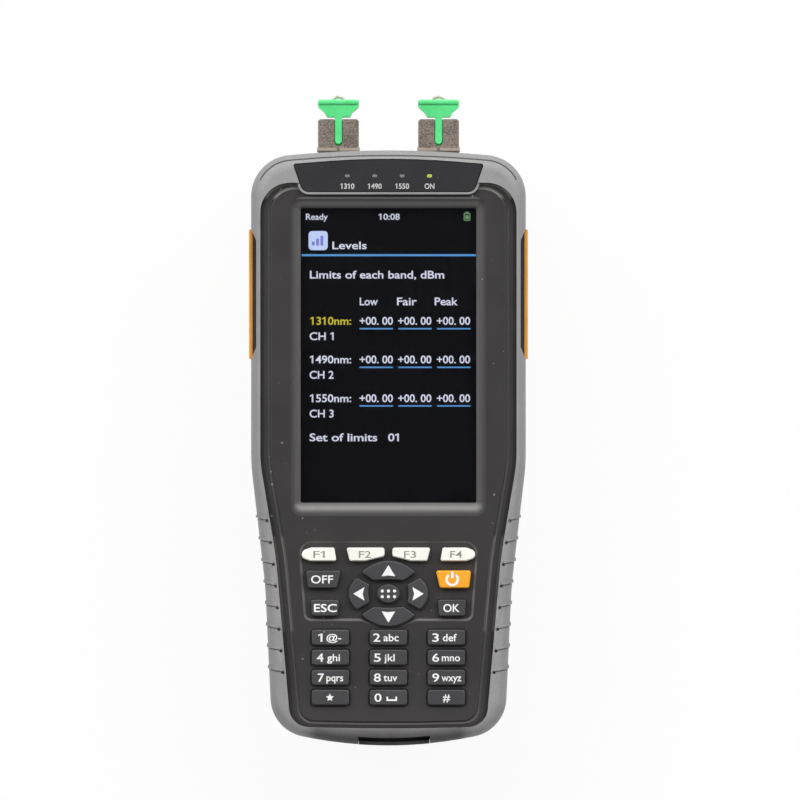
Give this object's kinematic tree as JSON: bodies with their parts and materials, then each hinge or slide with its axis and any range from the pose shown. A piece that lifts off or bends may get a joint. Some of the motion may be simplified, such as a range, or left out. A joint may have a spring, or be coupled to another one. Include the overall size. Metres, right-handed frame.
{
  "type": "optical power meter",
  "caption": "Handheld optical power meter with a tall colour screen, a cursor and number keypad, a grey rubber sleeve, and capped SC fibre ports on its top end.",
  "frame": {"origin": "on the flat back, under the middle of the housing's length and width", "axes": "+Z out of the screen, +Y along the length towards the fibre ports, +X to the right as the screen is read"},
  "size_m": [0.0848, 0.1974, 0.045],
  "materials": {
    "grey_sleeve": "matte, fine grain",
    "black_panel": "fine texture",
    "orange_pad": "satin",
    "indicator_black": "satin film",
    "light_pipe": "frosted clear",
    "screen_glass": "polished",
    "black_rubber": "matte",
    "display": "smooth",
    "silicone": "translucent grey",
    "circuit_board": "solder mask",
    "steel": "zinc plated",
    "battery_wrap": "shrink film",
    "head_metal": "milled",
    "socket_black": "moulded",
    "port_metal": "cast, nickel plated",
    "zirconia": "polished",
    "green_cap": "satin",
    "eyelet_metal": "tinned",
    "white_key": "satin",
    "orange_key": "satin",
    "dark_key": "satin"
  },
  "bodies": {
    "housing": {"front_cover": "black_panel", "rear_cover": "black_panel", "bumper_sleeve": "grey_sleeve", "left_side_pad": "orange_pad", "right_side_pad": "orange_pad", "indicator_panel": "indicator_black", "indicator_light_pipes": "light_pipe", "screen_window": "screen_glass", "screen_gasket": "black_rubber", "lcd_module": "display", "keypad_mat": "silicone", "main_board": "circuit_board", "board_screws": "steel", "battery_pack": "battery_wrap", "battery_door": "black_panel", "battery_door_screws": "steel", "case_screws": "steel", "case_seal": "black_rubber", "optical_head": "head_metal", "photodetectors": "steel", "usb_socket": "steel", "charge_socket": "socket_black", "buzzer": "socket_black", "port_cover_pin": "steel", "sc_adapter_left": "port_metal", "ferrule_sleeve_left": "zirconia", "sc_adapter_right": "port_metal", "ferrule_sleeve_right": "zirconia"},
    "key_f1_body": {"key_f1": "white_key"},
    "key_f2_body": {"key_f2": "white_key"},
    "key_f3_body": {"key_f3": "white_key"},
    "key_f4_body": {"key_f4": "white_key"},
    "key_off_body": {"key_off": "dark_key"},
    "key_power_body": {"key_power": "orange_key"},
    "key_esc_body": {"key_esc": "dark_key"},
    "key_ok_body": {"key_ok": "dark_key"},
    "key_up_body": {"key_up": "dark_key"},
    "key_down_body": {"key_down": "dark_key"},
    "key_right_body": {"key_right": "dark_key"},
    "key_left_body": {"key_left": "dark_key"},
    "key_menu_body": {"key_menu": "dark_key"},
    "key_1_body": {"key_1": "dark_key"},
    "key_2_body": {"key_2": "dark_key"},
    "key_3_body": {"key_3": "dark_key"},
    "key_4_body": {"key_4": "dark_key"},
    "key_5_body": {"key_5": "dark_key"},
    "key_6_body": {"key_6": "dark_key"},
    "key_7_body": {"key_7": "dark_key"},
    "key_8_body": {"key_8": "dark_key"},
    "key_9_body": {"key_9": "dark_key"},
    "key_star_body": {"key_star": "dark_key"},
    "key_0_body": {"key_0": "dark_key"},
    "key_hash_body": {"key_hash": "dark_key"},
    "dust_cap_left_body": {"dust_cap_left": "green_cap", "cap_eyelet_left": "eyelet_metal"},
    "dust_cap_right_body": {"dust_cap_right": "green_cap", "cap_eyelet_right": "eyelet_metal"},
    "port_cover_body": {"port_cover": "black_rubber"}
  },
  "joints": [
    {"name": "key_f1_press", "type": "slide", "parent": "housing", "child": "key_f1_body", "axis": [0, 0, -1], "range_m": [0, 0.0008], "stiffness_N_per_m": 1000, "deforming": ["keypad_mat"]},
    {"name": "key_f2_press", "type": "slide", "parent": "housing", "child": "key_f2_body", "axis": [0, 0, -1], "range_m": [0, 0.0008], "stiffness_N_per_m": 1000, "deforming": ["keypad_mat"]},
    {"name": "key_f3_press", "type": "slide", "parent": "housing", "child": "key_f3_body", "axis": [0, 0, -1], "range_m": [0, 0.0008], "stiffness_N_per_m": 1000, "deforming": ["keypad_mat"]},
    {"name": "key_f4_press", "type": "slide", "parent": "housing", "child": "key_f4_body", "axis": [0, 0, -1], "range_m": [0, 0.0008], "stiffness_N_per_m": 1000, "deforming": ["keypad_mat"]},
    {"name": "key_off_press", "type": "slide", "parent": "housing", "child": "key_off_body", "axis": [0, 0, -1], "range_m": [0, 0.0008], "stiffness_N_per_m": 1000, "deforming": ["keypad_mat"]},
    {"name": "key_power_press", "type": "slide", "parent": "housing", "child": "key_power_body", "axis": [0, 0, -1], "range_m": [0, 0.0008], "stiffness_N_per_m": 1000, "deforming": ["keypad_mat"]},
    {"name": "key_esc_press", "type": "slide", "parent": "housing", "child": "key_esc_body", "axis": [0, 0, -1], "range_m": [0, 0.0008], "stiffness_N_per_m": 1000, "deforming": ["keypad_mat"]},
    {"name": "key_ok_press", "type": "slide", "parent": "housing", "child": "key_ok_body", "axis": [0, 0, -1], "range_m": [0, 0.0008], "stiffness_N_per_m": 1000, "deforming": ["keypad_mat"]},
    {"name": "key_up_press", "type": "slide", "parent": "housing", "child": "key_up_body", "axis": [0, 0, -1], "range_m": [0, 0.0008], "stiffness_N_per_m": 1000, "deforming": ["keypad_mat"]},
    {"name": "key_down_press", "type": "slide", "parent": "housing", "child": "key_down_body", "axis": [0, 0, -1], "range_m": [0, 0.0008], "stiffness_N_per_m": 1000, "deforming": ["keypad_mat"]},
    {"name": "key_right_press", "type": "slide", "parent": "housing", "child": "key_right_body", "axis": [0, 0, -1], "range_m": [0, 0.0008], "stiffness_N_per_m": 1000, "deforming": ["keypad_mat"]},
    {"name": "key_left_press", "type": "slide", "parent": "housing", "child": "key_left_body", "axis": [0, 0, -1], "range_m": [0, 0.0008], "stiffness_N_per_m": 1000, "deforming": ["keypad_mat"]},
    {"name": "key_menu_press", "type": "slide", "parent": "housing", "child": "key_menu_body", "axis": [0, 0, -1], "range_m": [0, 0.0008], "stiffness_N_per_m": 1000, "deforming": ["keypad_mat"]},
    {"name": "key_1_press", "type": "slide", "parent": "housing", "child": "key_1_body", "axis": [0, 0, -1], "range_m": [0, 0.0008], "stiffness_N_per_m": 1000, "deforming": ["keypad_mat"]},
    {"name": "key_2_press", "type": "slide", "parent": "housing", "child": "key_2_body", "axis": [0, 0, -1], "range_m": [0, 0.0008], "stiffness_N_per_m": 1000, "deforming": ["keypad_mat"]},
    {"name": "key_3_press", "type": "slide", "parent": "housing", "child": "key_3_body", "axis": [0, 0, -1], "range_m": [0, 0.0008], "stiffness_N_per_m": 1000, "deforming": ["keypad_mat"]},
    {"name": "key_4_press", "type": "slide", "parent": "housing", "child": "key_4_body", "axis": [0, 0, -1], "range_m": [0, 0.0008], "stiffness_N_per_m": 1000, "deforming": ["keypad_mat"]},
    {"name": "key_5_press", "type": "slide", "parent": "housing", "child": "key_5_body", "axis": [0, 0, -1], "range_m": [0, 0.0008], "stiffness_N_per_m": 1000, "deforming": ["keypad_mat"]},
    {"name": "key_6_press", "type": "slide", "parent": "housing", "child": "key_6_body", "axis": [0, 0, -1], "range_m": [0, 0.0008], "stiffness_N_per_m": 1000, "deforming": ["keypad_mat"]},
    {"name": "key_7_press", "type": "slide", "parent": "housing", "child": "key_7_body", "axis": [0, 0, -1], "range_m": [0, 0.0008], "stiffness_N_per_m": 1000, "deforming": ["keypad_mat"]},
    {"name": "key_8_press", "type": "slide", "parent": "housing", "child": "key_8_body", "axis": [0, 0, -1], "range_m": [0, 0.0008], "stiffness_N_per_m": 1000, "deforming": ["keypad_mat"]},
    {"name": "key_9_press", "type": "slide", "parent": "housing", "child": "key_9_body", "axis": [0, 0, -1], "range_m": [0, 0.0008], "stiffness_N_per_m": 1000, "deforming": ["keypad_mat"]},
    {"name": "key_star_press", "type": "slide", "parent": "housing", "child": "key_star_body", "axis": [0, 0, -1], "range_m": [0, 0.0008], "stiffness_N_per_m": 1000, "deforming": ["keypad_mat"]},
    {"name": "key_0_press", "type": "slide", "parent": "housing", "child": "key_0_body", "axis": [0, 0, -1], "range_m": [0, 0.0008], "stiffness_N_per_m": 1000, "deforming": ["keypad_mat"]},
    {"name": "key_hash_press", "type": "slide", "parent": "housing", "child": "key_hash_body", "axis": [0, 0, -1], "range_m": [0, 0.0008], "stiffness_N_per_m": 1000, "deforming": ["keypad_mat"]},
    {"name": "dust_cap_left_pull", "type": "slide", "parent": "housing", "child": "dust_cap_left_body", "axis": [0, 1, 0], "range_m": [0, 0.06]},
    {"name": "dust_cap_right_pull", "type": "slide", "parent": "housing", "child": "dust_cap_right_body", "axis": [0, 1, 0], "range_m": [0, 0.06]},
    {"name": "port_cover_hinge", "type": "hinge", "parent": "housing", "child": "port_cover_body", "pos_m": [0.0017, -0.08895, 0.0125], "axis": [1, 0, 0], "range_deg": [0, 95]}
  ]
}
